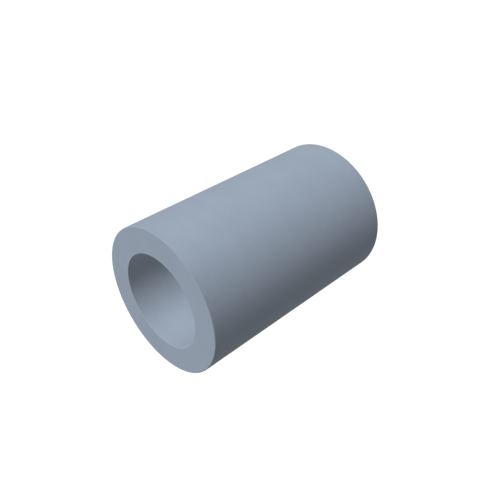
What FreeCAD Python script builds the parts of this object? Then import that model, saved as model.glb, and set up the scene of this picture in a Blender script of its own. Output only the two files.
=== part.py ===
import FreeCAD, Part
import math
import os
import Sketcher

# Spacer sleeve: a short plain tube, turned from one piece and cut off square at both ends.
# A screw runs through the bore, and the two flat end faces hold apart what they touch.
# The sleeve stands on one end. The origin is the centre of that end face, and +Z runs up the bore.

# Driving sizes in millimetres, each with what it measures.
SIZES = {
    "outer_diameter": (9.0, "across the outside of the wall"),
    "bore_diameter": (5.8, "coarse clearance hole for an M5 screw"),
    "sleeve_length": (14.0, "from end face to end face, the distance that the sleeve spaces"),
    "rim_break": (0.05, "45 degree edge break where the outside meets each end face"),
    "mouth_break": (0.05, "45 degree edge break where the bore meets each end face"),
}

FULL_TURN = 360


def make_sheet(doc):
    """Every driving size in a spreadsheet cell of its own, with its name as the cell's alias."""
    sheet = doc.addObject("Spreadsheet::Sheet", "sizes")
    for row, (alias, (value, meaning)) in enumerate(SIZES.items(), start=1):
        sheet.set(f"A{row}", alias)
        sheet.set(f"B{row}", str(value))
        sheet.set(f"C{row}", meaning)
        sheet.setAlias(f"B{row}", alias)
    doc.recompute()
    return sheet


def origin_plane(body, role):
    """The body's own origin plane with that role, such as XZ_Plane."""
    return next(plane for plane in body.Origin.OriginFeatures if plane.Role == role)


def draw_wall_section(body):
    """The wall cut through its axis: a rectangle that stands on the X axis, one bore radius out from Z."""
    sketch = body.newObject("Sketcher::SketchObject", "wall_section")
    sketch.AttachmentSupport = (origin_plane(body, "XZ_Plane"), [""])
    sketch.MapMode = "FlatFace"

    # The corners are drawn at rough places, and the constraints give them their real ones.
    rough_corners = [(3, 0), (5, 0), (5, 10), (3, 10)]
    corners = [FreeCAD.Vector(x, y, 0) for x, y in rough_corners]
    following_corners = corners[1:] + corners[:1]
    low_end, outside, high_end, bore = (
        sketch.addGeometry(Part.LineSegment(corner, following), False)
        for corner, following in zip(corners, following_corners)
    )

    start, end = 1, 2
    x_axis = -1
    sketch_origin = (-1, 1)
    for line, following in ((low_end, outside), (outside, high_end), (high_end, bore), (bore, low_end)):
        sketch.addConstraint(Sketcher.Constraint("Coincident", line, end, following, start))
    for square_cut in (low_end, high_end):
        sketch.addConstraint(Sketcher.Constraint("Horizontal", square_cut))
    for upright in (outside, bore):
        sketch.addConstraint(Sketcher.Constraint("Vertical", upright))
    sketch.addConstraint(Sketcher.Constraint("PointOnObject", low_end, start, x_axis))

    dimensions = (
        ("bore_radius", "DistanceX", (low_end, start), "sizes.bore_diameter / 2"),
        ("outer_radius", "DistanceX", (low_end, end), "sizes.outer_diameter / 2"),
        ("wall_height", "DistanceY", (high_end, start), "sizes.sleeve_length"),
    )
    rough_size = 1.0
    for name, direction, point, expression in dimensions:
        dimension = Sketcher.Constraint(direction, *sketch_origin, *point, rough_size)
        sketch.renameConstraint(sketch.addConstraint(dimension), name)
        sketch.setExpression(f"Constraints.{name}", expression)
    return sketch


def turn_wall(body, section):
    """The section turned a full round about the upright axis of its sketch."""
    turned = body.newObject("PartDesign::Revolution", "turned_wall")
    turned.Profile = section
    turned.ReferenceAxis = (section, ["V_Axis"])
    turned.Angle = FULL_TURN
    body.Document.recompute()
    return turned


def end_circles(feature, diameter):
    """The names of the feature's full circles of that diameter, one at each end face."""
    found = []
    for number, edge in enumerate(feature.Shape.Edges, start=1):
        is_circle = isinstance(edge.Curve, Part.Circle) and edge.isClosed()
        if is_circle and math.isclose(edge.Curve.Radius, diameter / 2):
            found.append(f"Edge{number}")
    return found


def break_edges(body, feature, name, diameter, width):
    """Takes the sharp corners of that diameter off at both ends, at 45 degrees."""
    broken = body.newObject("PartDesign::Chamfer", name)
    broken.Base = (feature, end_circles(feature, diameter))
    broken.setExpression("Size", width)
    body.Document.recompute()
    return broken


def make_sleeve(doc, sheet):
    """The whole sleeve, which is one piece."""
    body = doc.addObject("PartDesign::Body", "sleeve")
    body.Label = "sleeve"
    turned = turn_wall(body, draw_wall_section(body))
    rims = break_edges(body, turned, "rim_breaks", sheet.outer_diameter, "sizes.rim_break")
    mouths = break_edges(body, rims, "mouth_breaks", sheet.bore_diameter, "sizes.mouth_break")
    body.Tip = mouths
    body.Placement = FreeCAD.Placement()
    return body


def check(doc, parts):
    """Stops the build if an object failed, or if a piece is not one sound solid."""
    doc.recompute()
    for item in doc.Objects:
        if "Invalid" in item.State or "Error" in item.State:
            raise RuntimeError(f"{item.Label} failed: {item.State}")
    for part in parts:
        if part.Shape.isNull() or not part.Shape.isValid() or len(part.Shape.Solids) != 1:
            raise RuntimeError(f"{part.Label} is not one sound solid")


def write_steps(parts):
    """One STEP file for each piece, named after it."""
    os.makedirs("parts", exist_ok=True)
    for part in parts:
        part.Shape.exportStep(os.path.join("parts", f"{part.Label}.step"))
        box = part.Shape.BoundBox
        print(f"{part.Label}: {box.XLength:.2f} x {box.YLength:.2f} x {box.ZLength:.2f} mm")
        print(f"{part.Label}: {part.Shape.Volume:.2f} mm3")


def main():
    doc = FreeCAD.newDocument("spacer_sleeve")
    sheet = make_sheet(doc)
    parts = [make_sleeve(doc, sheet)]
    check(doc, parts)
    write_steps(parts)


main()
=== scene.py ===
import math

import bpy
from mathutils import Matrix, Vector


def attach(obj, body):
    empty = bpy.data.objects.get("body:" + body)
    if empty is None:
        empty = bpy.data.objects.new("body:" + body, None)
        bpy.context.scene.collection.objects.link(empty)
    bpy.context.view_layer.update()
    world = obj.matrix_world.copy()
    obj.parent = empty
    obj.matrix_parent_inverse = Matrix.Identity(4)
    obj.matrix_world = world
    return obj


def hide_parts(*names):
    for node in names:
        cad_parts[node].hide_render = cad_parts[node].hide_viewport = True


# Spacer sleeve: a short turned tube with a matt blue-grey zinc finish, standing on one end.
# One Blender unit is a metre, and +Z runs up the bore.

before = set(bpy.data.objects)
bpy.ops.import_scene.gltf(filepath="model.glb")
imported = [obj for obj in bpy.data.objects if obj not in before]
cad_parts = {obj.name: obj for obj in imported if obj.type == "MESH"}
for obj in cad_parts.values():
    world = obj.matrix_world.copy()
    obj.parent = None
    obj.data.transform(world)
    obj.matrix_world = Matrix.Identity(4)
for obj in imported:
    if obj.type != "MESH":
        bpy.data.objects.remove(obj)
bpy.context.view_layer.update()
mm = 0.001
micron = 0.000001


# Helpers. What feeds a socket is a number, a colour or a material, or another node's output.

def addToScene(name, data):
    item = bpy.data.objects.new(name, data)
    bpy.context.scene.collection.objects.link(item)
    return item


def emptyMaterial(name):
    material = bpy.data.materials.new(name)
    material.use_nodes = True
    material.node_tree.nodes.clear()
    return material


def feed(tree, socket, value):
    if isinstance(value, bpy.types.NodeSocket):
        tree.links.new(value, socket)
    else:
        socket.default_value = value


def addNode(tree, kind, inputs=None, **settings):
    node = tree.nodes.new(kind)
    for name, value in settings.items():
        setattr(node, name, value)
    for socketName, value in (inputs or {}).items():
        feed(tree, node.inputs[socketName], value)
    return node


def calculate(tree, operation, *values):
    node = tree.nodes.new("ShaderNodeMath")
    node.operation = operation
    for number, value in enumerate(values):
        feed(tree, node.inputs[number], value)
    return node.outputs[0]


def blendShares(tree, patterns, shares):
    # Adds up the patterns that are named, each times its own share.
    total = 0.0
    for name, share in shares.items():
        total = calculate(tree, "MULTIPLY_ADD", patterns[name], share, total)
    return total


def spread(tree, value, reach, low, high):
    # Values within the reach go from low to high, and those past it stay at its ends.
    return addNode(tree, "ShaderNodeMapRange", {
        "Value": value, "From Min": reach[0], "From Max": reach[1], "To Min": low, "To Max": high,
    }).outputs["Result"]


def shadesAround(tree, tone, swing, lightness):
    # From a little darker than the tone to a little lighter, as the lightness goes from 0 to 1.
    # A Mix node has its two colours at inputs 6 and 7, and what they give at output 2.
    darker = (*(Vector(tone) * (1 - swing)), 1.0)
    lighter = (*(Vector(tone) * (1 + swing)), 1.0)
    mix = addNode(tree, "ShaderNodeMix", {"Factor": lightness, 6: darker, 7: lighter}, data_type="RGBA")
    return mix.outputs[2]


def layOut(tree, columnWidth=190, rowHeight=170):
    # Puts each node one column right of the nodes that feed it, so that the tree can be read.
    columns = {}
    for node in tree.nodes:
        columns[node.name] = 0
    for _ in tree.nodes:
        for link in tree.links:
            reach = columns[link.from_node.name] + 1
            columns[link.to_node.name] = max(columns[link.to_node.name], reach)
    rows = {}
    for node in tree.nodes:
        column = columns[node.name]
        rows[column] = rows.get(column, 0) + 1
        node.location = (column * columnWidth, -rows[column] * rowHeight)


# The finishes. Every surface has the same plating, and its own marks from the tool that cut it.

plating = {
    "tone": (0.2735, 0.3275, 0.4025),
    "roughness": 0.55,
    "metallic": 0.5,
    "cloudSize": 1.8 * mm,           # patches where the passivation lies a little thicker
    "grainSize": 0.10 * mm,          # the crystals of the zinc
    "grainDepth": 0.5 * micron,
    "toneSwing": 0.035,              # share of the tone that the marks may add or take
    "roughnessSwing": 0.03,

    # How much each pattern adds to the tone, the roughness and the height of the surface.
    "toneShares": {"scratches": 0.4, "bands": 0.05, "clouds": 0.25, "grain": 0.3},
    "roughnessShares": {"clouds": 0.6, "bands": 0.1, "grain": 0.3},
    "heightShares": {"groove": 0.2, "scratches": 0.8, "bands": 0.3},

    # The stretch of those sums over which the tone and the roughness swing.
    "toneReach": (0.35, 0.65),
    "roughnessReach": (0.3, 0.7),
}

# What a surface gives here goes before what the plating gives.
toolMarks = {
    "barrel": {
        "name": "plating on the turned barrel", "runs": "up the axis",
        "feed": 0.11 * mm, "scratchWidth": 0.09 * mm, "bandWidth": 0.7 * mm, "depth": 1.9 * micron,
    },
    "endFaces": {
        "name": "plating on the faced ends", "runs": "out from the axis",
        "feed": 0.16 * mm, "scratchWidth": 0.08 * mm, "bandWidth": 0.4 * mm, "depth": 2.0 * micron,
    },
    "bore": {
        "name": "plating in the drilled bore", "runs": "up the axis",
        "feed": 0.16 * mm, "scratchWidth": 0.12 * mm, "bandWidth": 0.8 * mm, "depth": 2.2 * micron,
        "roughness": 0.50,
    },
    "brokenEdges": {
        "name": "plating on the broken edges", "runs": "up the axis",
        "feed": 0.03 * mm, "scratchWidth": 0.03 * mm, "bandWidth": 0.3 * mm, "depth": 0.3 * micron,
        "roughness": 0.95, "metallic": 0.6,
        # painted shade: the edges are darker than the plating so that the key light they catch shows no
        # bright line
        "tone": (0.225, 0.273, 0.336),   # dull and a little dark, so that no bright line shows
    },
}


def upTheAxis(tree, place):
    return addNode(tree, "ShaderNodeSeparateXYZ", {0: place}).outputs["Z"]


def outFromTheAxis(tree, place):
    flat = addNode(tree, "ShaderNodeVectorMath", {
        0: place, 1: (1.0, 1.0, 0.0),
    }, operation="MULTIPLY").outputs["Vector"]
    return addNode(tree, "ShaderNodeVectorMath", {0: flat}, operation="LENGTH").outputs["Value"]


waysOfTheTool = {"up the axis": upTheAxis, "out from the axis": outFromTheAxis}


def unevenly(tree, along, width, detail):
    # A streak after every width or so, along one coordinate.
    return addNode(tree, "ShaderNodeTexNoise", {
        "W": along, "Scale": 1 / width, "Detail": detail,
    }, noise_dimensions="1D").outputs["Fac"]


def patchily(tree, place, size, detail):
    return addNode(tree, "ShaderNodeTexNoise", {
        "Vector": place, "Scale": 1 / size, "Detail": detail,
    }, noise_dimensions="3D").outputs["Fac"]


def cutPatterns(tree, marks):
    place = addNode(tree, "ShaderNodeTexCoord").outputs["Object"]
    across = waysOfTheTool[marks["runs"]](tree, place)

    # The tool leaves one long fine groove, which moves on by its feed at each turn.
    parts = addNode(tree, "ShaderNodeSeparateXYZ", {0: place})
    angle = calculate(tree, "ARCTAN2", parts.outputs["Y"], parts.outputs["X"])
    passes = calculate(tree, "DIVIDE", across, marks["feed"])
    turns = calculate(tree, "MULTIPLY_ADD", passes, math.tau, angle)

    # Scratches and broader bands run the same way, because the cut is never quite even.
    return {
        "groove": calculate(tree, "SINE", turns),
        "scratches": unevenly(tree, across, marks["scratchWidth"], detail=2.0),
        "bands": unevenly(tree, across, marks["bandWidth"], detail=1.0),
        "clouds": patchily(tree, place, marks["cloudSize"], detail=4.0),
        "grain": patchily(tree, place, marks["grainSize"], detail=2.0),
    }


def platedFinish(marks):
    material = emptyMaterial(marks["name"])
    tree = material.node_tree
    patterns = cutPatterns(tree, marks)

    toneSum = blendShares(tree, patterns, marks["toneShares"])
    lightness = spread(tree, toneSum, marks["toneReach"], 0.0, 1.0)
    colour = shadesAround(tree, marks["tone"], marks["toneSwing"], lightness)

    roughnessSum = blendShares(tree, patterns, marks["roughnessShares"])
    smoothest = marks["roughness"] - marks["roughnessSwing"]
    roughest = marks["roughness"] + marks["roughnessSwing"]
    roughness = spread(tree, roughnessSum, marks["roughnessReach"], smoothest, roughest)

    # The tool cut the surface first, and the plating grew on it.
    cutSurface = addNode(tree, "ShaderNodeBump", {
        "Height": blendShares(tree, patterns, marks["heightShares"]),
        "Distance": marks["depth"],
        "Strength": 1.0,
    }).outputs["Normal"]
    platedSurface = addNode(tree, "ShaderNodeBump", {
        "Height": patterns["grain"],
        "Distance": marks["grainDepth"],
        "Strength": 1.0,
        "Normal": cutSurface,
    }).outputs["Normal"]

    shader = addNode(tree, "ShaderNodeBsdfPrincipled", {
        "Base Color": colour,
        "Roughness": roughness,
        "Metallic": marks["metallic"],
        "Normal": platedSurface,
    })
    addNode(tree, "ShaderNodeOutputMaterial", {"Surface": shader.outputs[0]})
    layOut(tree)
    return material


finishes = {}
for surface, marks in toolMarks.items():
    finishes[surface] = platedFinish({**plating, **marks})
print("finishes made:", ", ".join(finishes))


# The sleeve itself: its wall section carried once round the axis.

turning = {
    "segments": 256,         # flats round the axis
    "break steps": 4,        # flats round each edge break
}
squareWithin = 0.01          # how near 0 or 1 the Z of a normal is on a face that isn't part of a break


def measureSleeve(node):
    # The corners of the CAD node lie on its true circles, so they give its radii and edge breaks.
    corners = [vertex.co for vertex in node.data.vertices]
    heights = [corner.z for corner in corners]
    radii = [math.hypot(corner.x, corner.y) for corner in corners]
    outerRadius = max(radii)
    onBarrel = [height for height, radius in zip(heights, radii) if radius > outerRadius - micron]
    return {
        "outer radius": outerRadius,
        "bore radius": min(radii),
        "length": max(heights) - min(heights),
        "edge break": min(onBarrel) - min(heights),
    }


def turningTree(finishes):
    tree = bpy.data.node_groups.new("sleeve turned from its wall section", "GeometryNodeTree")
    tree.is_modifier = True
    sockets = tree.interface
    for name in ("outer radius", "bore radius", "length", "edge break"):
        sockets.new_socket(name, in_out="INPUT", socket_type="NodeSocketFloat").subtype = "DISTANCE"
    for name in ("segments", "break steps"):
        sockets.new_socket(name, in_out="INPUT", socket_type="NodeSocketInt")
    sockets.new_socket("sleeve", in_out="OUTPUT", socket_type="NodeSocketGeometry")
    given = addNode(tree, "NodeGroupInput").outputs

    wall = calculate(tree, "SUBTRACT", given["outer radius"], given["bore radius"])
    halfWall = calculate(tree, "MULTIPLY", wall, 0.5)
    middleRadius = calculate(tree, "SUBTRACT", given["outer radius"], halfWall)

    # The wall section, with its four sharp corners rounded a little, as tumbling leaves them.
    section = addNode(tree, "GeometryNodeCurvePrimitiveQuadrilateral", {
        "Width": wall, "Height": given["length"],
    }, mode="RECTANGLE").outputs["Curve"]
    section = addNode(tree, "GeometryNodeFilletCurve", {
        "Curve": section, "Count": given["break steps"], "Radius": given["edge break"],
    }, mode="POLY").outputs["Curve"]

    # The round that the middle of the wall follows.
    path = addNode(tree, "GeometryNodeCurvePrimitiveCircle", {
        "Resolution": given["segments"], "Radius": middleRadius,
    }, mode="RADIUS").outputs["Curve"]
    path = addNode(tree, "GeometryNodeSetCurveNormal", {"Curve": path}, mode="Z_UP").outputs["Curve"]
    turned = addNode(tree, "GeometryNodeCurveToMesh", {
        "Curve": path, "Profile Curve": section,
    }).outputs["Mesh"]

    # It stands on its lower end face.
    halfLength = calculate(tree, "MULTIPLY", given["length"], 0.5)
    lift = addNode(tree, "ShaderNodeCombineXYZ", {"Z": halfLength}).outputs["Vector"]
    standing = addNode(tree, "GeometryNodeTransform", {
        "Geometry": turned, "Translation": lift,
    }).outputs["Geometry"]
    whole = addNode(tree, "GeometryNodeRealizeInstances", {"Geometry": standing}).outputs["Geometry"]

    # Each cut surface gets its own finish, told apart by the way it faces and its distance from the axis.
    normal = addNode(tree, "GeometryNodeInputNormal").outputs["Normal"]
    position = addNode(tree, "GeometryNodeInputPosition").outputs["Position"]
    tilt = calculate(tree, "ABSOLUTE", upTheAxis(tree, normal))
    flatOn = calculate(tree, "GREATER_THAN", tilt, 1 - squareWithin)
    upright = calculate(tree, "LESS_THAN", tilt, squareWithin)
    outside = calculate(tree, "GREATER_THAN", outFromTheAxis(tree, position), middleRadius)
    inside = calculate(tree, "SUBTRACT", 1.0, outside)
    choices = (
        ("brokenEdges", True),
        ("endFaces", flatOn),
        ("barrel", calculate(tree, "MULTIPLY", upright, outside)),
        ("bore", calculate(tree, "MULTIPLY", upright, inside)),
    )
    for surface, faces in choices:
        whole = addNode(tree, "GeometryNodeSetMaterial", {
            "Geometry": whole, "Selection": faces, "Material": finishes[surface],
        }).outputs["Geometry"]
    addNode(tree, "NodeGroupOutput", {0: whole})
    layOut(tree)
    return tree


def makeSleeve(sizes, finishes):
    # The tree runs on an empty carrier, and its result becomes a plain mesh.
    carrier = addToScene("sleeveCarrier", bpy.data.meshes.new("sleeveCarrier"))
    modifier = carrier.modifiers.new("turning", "NODES")
    modifier.node_group = turningTree(finishes)
    for socket in modifier.node_group.interface.items_tree:
        if socket.in_out == "INPUT":
            modifier[socket.identifier] = sizes[socket.name]
    bpy.context.view_layer.update()
    turned = carrier.evaluated_get(bpy.context.evaluated_depsgraph_get())
    mesh = bpy.data.meshes.new_from_object(turned)
    carrier.modifiers.clear()
    bpy.data.objects.remove(carrier)
    return addToScene("turned_sleeve", mesh)


def nearestCore(radius, height, sizes):
    # The core is the wall section without the strip as deep as the edge breaks all round it.
    edgeBreak = sizes["edge break"]
    coreRadius = min(max(radius, sizes["bore radius"] + edgeBreak), sizes["outer radius"] - edgeBreak)
    coreHeight = min(max(height, edgeBreak), sizes["length"] - edgeBreak)
    return coreRadius, coreHeight


def faceAwayFromCore(sleeve, sizes):
    # Shading that faces away from the core is flat on the end faces, straight up the barrel and the
    # bore, and turns only on the rounded breaks.
    directions = []
    for corner in sleeve.data.vertices:
        outward = Vector((corner.co.x, corner.co.y, 0))
        coreRadius, coreHeight = nearestCore(outward.length, corner.co.z, sizes)
        direction = outward.normalized() * (outward.length - coreRadius)
        direction.z = corner.co.z - coreHeight
        directions.append(direction.normalized())
    sleeve.data.normals_split_custom_set_from_vertices(directions)


sleeveSizes = {**measureSleeve(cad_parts["sleeve"]), **turning}
sleeve = makeSleeve(sleeveSizes, finishes)
faceAwayFromCore(sleeve, sleeveSizes)
print("sleeve turned:", len(sleeve.data.polygons), "faces,", len(sleeve.data.materials), "finishes")


# The skin is laid out flat on one square sheet: the barrel below, the end faces and the bore above.

flatSkin = {
    "sheet": 28.7 * mm,                # side of the square
    "gap": 0.4 * mm,                   # between one stretch of skin and the next
    "barrelSeam": math.radians(135),   # on the side away from the camera
    "boreSeam": math.radians(-45),     # on the near wall, which faces away from the camera
    "boreScale": 0.69,                 # the bore is the least seen, so it gets less of the sheet
}


def pastSeam(seam, corner, middle):
    # The angle of a corner from the seam, on the same side of it as the middle of its face.
    middleAngle = math.atan2(middle.y, middle.x)
    cornerAngle = math.atan2(corner.y, corner.x)
    step = (cornerAngle - middleAngle + math.pi) % math.tau - math.pi
    return (middleAngle - seam) % math.tau + step


def alongSection(height, sizes):
    # The way up the wall section from one end face, round the edge breaks.
    edgeBreak = sizes["edge break"]
    coreHeight = nearestCore(0, height, sizes)[1]
    sine = min(max((height - coreHeight) / edgeBreak, -1), 1)
    return coreHeight + edgeBreak * (math.asin(sine) + math.pi / 2 - 1)


def layFlat(sleeve, sizes, settings):
    mesh = sleeve.data
    flat = mesh.uv_layers.new(name="OFBake")
    margin = settings["gap"] / 2
    outerRadius, boreRadius = sizes["outer radius"], sizes["bore radius"]
    middleRadius = (outerRadius + boreRadius) / 2
    secondRow = margin + alongSection(sizes["length"], sizes) + settings["gap"]
    upperDisc = Vector((margin + outerRadius, secondRow + outerRadius))
    lowerDisc = upperDisc + Vector((2 * outerRadius + margin, 0))
    boreCorner = Vector((lowerDisc.x + outerRadius + margin, secondRow))
    for face in mesh.polygons:
        middle = face.center
        facesEnd = abs(face.normal.z) > 1 - squareWithin
        onOutside = math.hypot(middle.x, middle.y) > middleRadius
        for loop in face.loop_indices:
            corner = mesh.vertices[mesh.loops[loop].vertex_index].co
            rise = alongSection(corner.z, sizes)
            if facesEnd and face.normal.z > 0:
                spot = upperDisc + Vector((corner.x, corner.y))
            elif facesEnd:
                spot = lowerDisc + Vector((-corner.x, corner.y))
            elif onOutside:
                spot = Vector((pastSeam(settings["barrelSeam"], corner, middle) * outerRadius, rise))
                spot += Vector((margin, margin))
            else:
                spot = Vector((rise, pastSeam(settings["boreSeam"], corner, middle) * boreRadius))
                spot = boreCorner + spot * settings["boreScale"]
            flat.uv[loop].vector = spot / settings["sheet"]
    reach = [max(spot.vector[axis] for spot in flat.uv) for axis in (0, 1)]
    print("skin laid flat, reaching", [round(side, 3) for side in reach], "of the sheet")


layFlat(sleeve, sleeveSizes, flatSkin)


# Floor, light and camera.

floorPaper = {
    "side": 4.0,                # metres
    "clearance": 0.02 * mm,     # keeps it from showing through the lower end face
    "tone": (0.72, 0.72, 0.72),
    "toneSwing": 0.002,
    "roughness": 0.8,
    "grain": 0.8 * mm,
}


def makeFloor(settings):
    half = settings["side"] / 2
    low = -settings["clearance"]
    corners = [(-half, -half, low), (half, -half, low), (half, half, low), (-half, half, low)]
    mesh = bpy.data.meshes.new("floor")
    mesh.from_pydata(corners, [], [(0, 1, 2, 3)])
    floor = addToScene("floor", mesh)

    material = emptyMaterial("pale studio paper")
    tree = material.node_tree
    place = addNode(tree, "ShaderNodeTexCoord").outputs["Object"]
    grain = patchily(tree, place, settings["grain"], detail=2.0)
    shader = addNode(tree, "ShaderNodeBsdfPrincipled", {
        "Base Color": shadesAround(tree, settings["tone"], settings["toneSwing"], grain),
        "Roughness": settings["roughness"],
        "Specular IOR Level": 0.0,
    })
    addNode(tree, "ShaderNodeOutputMaterial", {"Surface": shader.outputs[0]})
    layOut(tree)
    mesh.materials.append(material)

    # The sleeve gets the even light of the room from below too.
    floor.visible_diffuse = False
    floor.visible_glossy = False


studio = {
    "roomGlow": (0.325, 0.325, 0.325),
    "backdrop": (1.02, 1.02, 1.02),
    "key": {
        "from": (0.796, 0.070, 0.602),
        "strength": 5.93,            # watts a square metre
        "angle": 24,                 # degrees across, so that light turns softly into shade
    },
    "rearPanel": {
        "from": (-0.50, 0.87, 0.0),  # behind the sleeve and towards the key, out of the photograph's view
        "distance": 60 * mm,
        "middleHeight": 6.5 * mm,
        "width": 20 * mm,
        "height": 11 * mm,           # its top is below the upper end face, which it leaves alone
        "power": 0.04,               # watts
    },
}


def placeLamp(data, outward, place):
    lamp = addToScene(data.name, data)
    lamp.rotation_mode = "QUATERNION"
    lamp.rotation_quaternion = outward.to_track_quat("Z", "Y")
    lamp.location = place
    return lamp


def lightStudio(settings, sleeve):
    world = bpy.data.worlds.new("studio")
    bpy.context.scene.world = world
    world.use_nodes = True
    tree = world.node_tree
    tree.nodes.clear()
    glow = addNode(tree, "ShaderNodeBackground", {"Color": (*settings["roomGlow"], 1.0)})
    backdrop = addNode(tree, "ShaderNodeBackground", {"Color": (*settings["backdrop"], 1.0)})
    seen = addNode(tree, "ShaderNodeLightPath").outputs["Is Camera Ray"]
    mixed = addNode(tree, "ShaderNodeMixShader", {0: seen, 1: glow.outputs[0], 2: backdrop.outputs[0]})
    addNode(tree, "ShaderNodeOutputWorld", {"Surface": mixed.outputs[0]})
    layOut(tree)

    key = settings["key"]
    sun = bpy.data.lights.new("key", "SUN")
    sun.energy = key["strength"]
    sun.angle = math.radians(key["angle"])
    placeLamp(sun, Vector(key["from"]), (0, 0, 0))

    panel = settings["rearPanel"]
    area = bpy.data.lights.new("rearPanel", "AREA")
    area.shape = "RECTANGLE"
    area.size = panel["width"]
    area.size_y = panel["height"]
    area.energy = panel["power"]
    outward = Vector(panel["from"]).normalized()
    lamp = placeLamp(area, outward, outward * panel["distance"] + Vector((0, 0, panel["middleHeight"])))
    lamp.visible_camera = False
    lamp.visible_glossy = False

    # The panel lights the sleeve alone, because a floor far past white would eat into the edges before it.
    litByPanel = bpy.data.collections.new("litByPanel")
    litByPanel.objects.link(sleeve)
    lamp.light_linking.receiver_collection = litByPanel


def lightThrough(sleeve):
    # In the photograph the sleeve has no shadow, and its wall neither shades nor tints the bore.
    sleeve.visible_shadow = False
    sleeve.visible_diffuse = False
    sleeve.visible_glossy = False


photoCamera = {
    "lens": 45.54,            # millimetres, as the sensor's width is
    "sensor": 36.0,
    "from": (1, -1, 1),       # the way to the camera from the middle of the sleeve
    "distance": 8.64,         # in outer radii
    "up": (1, 0, 0),          # this way is up in the picture, as if the sleeve lay down
    "nearest": 1 * mm,        # what is nearer than this isn't drawn
    "farthest": 10.0,         # metres
}


def placeCamera(settings, sizes):
    middle = Vector((0, 0, sizes["length"] / 2))
    backwards = Vector(settings["from"]).normalized()
    right = Vector(settings["up"]).cross(backwards).normalized()
    up = backwards.cross(right)
    place = middle + backwards * settings["distance"] * sizes["outer radius"]
    data = bpy.data.cameras.new("photoCamera")
    data.lens = settings["lens"]
    data.sensor_width = settings["sensor"]
    data.clip_start = settings["nearest"]
    data.clip_end = settings["farthest"]
    camera = addToScene("photoCamera", data)
    camera.matrix_world = Matrix.Translation(place) @ Matrix((right, up, backwards)).transposed().to_4x4()
    bpy.context.scene.camera = camera


makeFloor(floorPaper)
lightStudio(studio, sleeve)
lightThrough(sleeve)
placeCamera(photoCamera, sleeveSizes)
bpy.context.scene.view_settings.view_transform = "Standard"
print("floor, lamps and camera placed")

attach(sleeve, "root")
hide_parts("sleeve")
